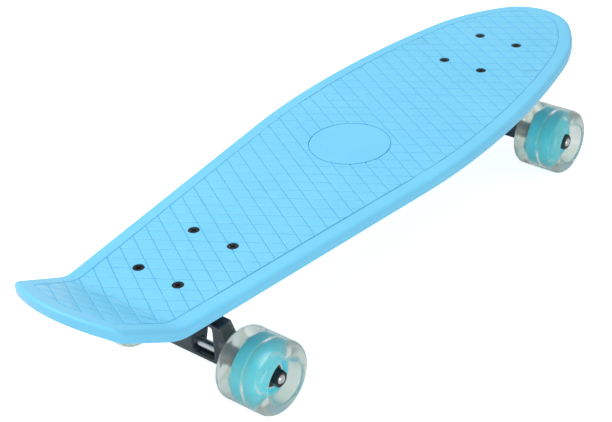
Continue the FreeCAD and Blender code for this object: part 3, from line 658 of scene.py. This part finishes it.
for end in ends:
    makeCasting(end + "_hanger", end + "_hangerCasting", end + "_hanger")
    makeCasting(end + "_baseplate", end + "_baseplateCasting", "deck")
print("castings done")


# bushings squeeze between the baseplate and the hanger's ring
def makeBushing(node, pieceName):
    piece = finishPiece(pieceName, cadCopy(node), None, slotOf[node], [node], 30.0)
    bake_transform(piece)
    return piece


for end in ends:
    makeBushing(end + "_board_bushing", end + "_barrelBushing")
    makeBushing(end + "_road_bushing", end + "_coneBushing")
print("bushings done")

# floor, light and camera
stageLook = {
    "floorSize": 14.0,
    "floorGlow": 0.75,
    "glowThroughGlass": 0.35,
    "worldGlow": 0.62,
    "aim": (0, 0, 0.05),
}
softboxes = {
    "keySoftbox": {"spot": (-0.7, 0.9, 1.9), "size": (1.6, 1.6), "power": 30.0},
    "fillSoftbox": {"spot": (-1.2, -1.9, 0.5), "size": (1.4, 0.8), "power": 11.0},
}


def makeStage():
    look = stageLook
    bm = bmesh.new()
    bmesh.ops.create_grid(bm, x_segments=1, y_segments=1, size=look["floorSize"] / 2)
    mesh = bpy.data.meshes.new("floor")
    bm.to_mesh(mesh)
    bm.free()
    floor = bpy.data.objects.new("floor", mesh)
    bpy.context.scene.collection.objects.link(floor)
    material, tree, shader, place = newMaterial("paleFloor")
    shader.inputs["Base Color"].default_value = (0.85, 0.855, 0.86, 1)
    shader.inputs["Roughness"].default_value = 0.9
    shader.inputs["Specular IOR Level"].default_value = 0.1
    shader.inputs["Emission Color"].default_value = (0.97, 0.98, 1.0, 1)
    path = addNode(tree, "ShaderNodeLightPath")
    straight = addMath(tree, "MULTIPLY", path.outputs["Is Camera Ray"], look["floorGlow"])
    through = addMath(tree, "MULTIPLY", path.outputs["Is Transmission Ray"], look["glowThroughGlass"])
    tree.links.new(addMath(tree, "ADD", straight, through), shader.inputs["Emission Strength"])
    # seen from below, the floor is clear
    below = addNode(tree, "ShaderNodeNewGeometry").outputs["Backfacing"]
    clear = addNode(tree, "ShaderNodeBsdfTransparent")
    mixShaders(tree, below, shader.outputs[0], clear.outputs[0])
    mesh.materials.append(material)

    world = bpy.data.worlds.new("studio")
    bpy.context.scene.world = world
    world.use_nodes = True
    sky = world.node_tree.nodes["Background"]
    sky.inputs["Color"].default_value = (1.0, 1.0, 1.0, 1)
    sky.inputs["Strength"].default_value = look["worldGlow"]


def addSoftbox(name, spot, size, power):
    lamp = bpy.data.lights.new(name, "AREA")
    lamp.shape = "RECTANGLE"
    lamp.size, lamp.size_y = size
    lamp.energy = power
    item = bpy.data.objects.new(name, lamp)
    item.location = spot
    item.rotation_euler = (Vector(stageLook["aim"]) - Vector(spot)).to_track_quat("-Z", "Y").to_euler()
    bpy.context.scene.collection.objects.link(item)


makeStage()
for name, look in softboxes.items():
    addSoftbox(name, **look)

cameraLook = {
    "spot": (-0.84319, -0.66420, 0.71965),
    "azimuth": -49.856,
    "elevation": 32.296,
    "roll": -3.416,
    "lens": 83.63,
}


def makeCamera():
    look = cameraLook
    azimuth, elevation, roll = (math.radians(look[key]) for key in ("azimuth", "elevation", "roll"))
    reach = math.cos(elevation)
    back = Vector((math.sin(azimuth) * reach, -math.cos(azimuth) * reach, math.sin(elevation)))
    right = (-back).cross(Vector((0, 0, 1))).normalized()
    up = back.cross(right)
    turned = math.cos(roll) * right + math.sin(roll) * up
    upright = math.cos(roll) * up - math.sin(roll) * right
    data = bpy.data.cameras.new("camera")
    data.lens = look["lens"]
    data.sensor_width = 36.0
    data.clip_start = 0.01
    data.clip_end = 50.0
    camera = bpy.data.objects.new("camera", data)
    facing = Matrix((turned, upright, back)).transposed().to_4x4()
    camera.matrix_world = Matrix.Translation(look["spot"]) @ facing
    bpy.context.scene.collection.objects.link(camera)
    bpy.context.scene.camera = camera


makeCamera()
bpy.context.scene.view_settings.view_transform = "Standard"
print("stage and camera ready")
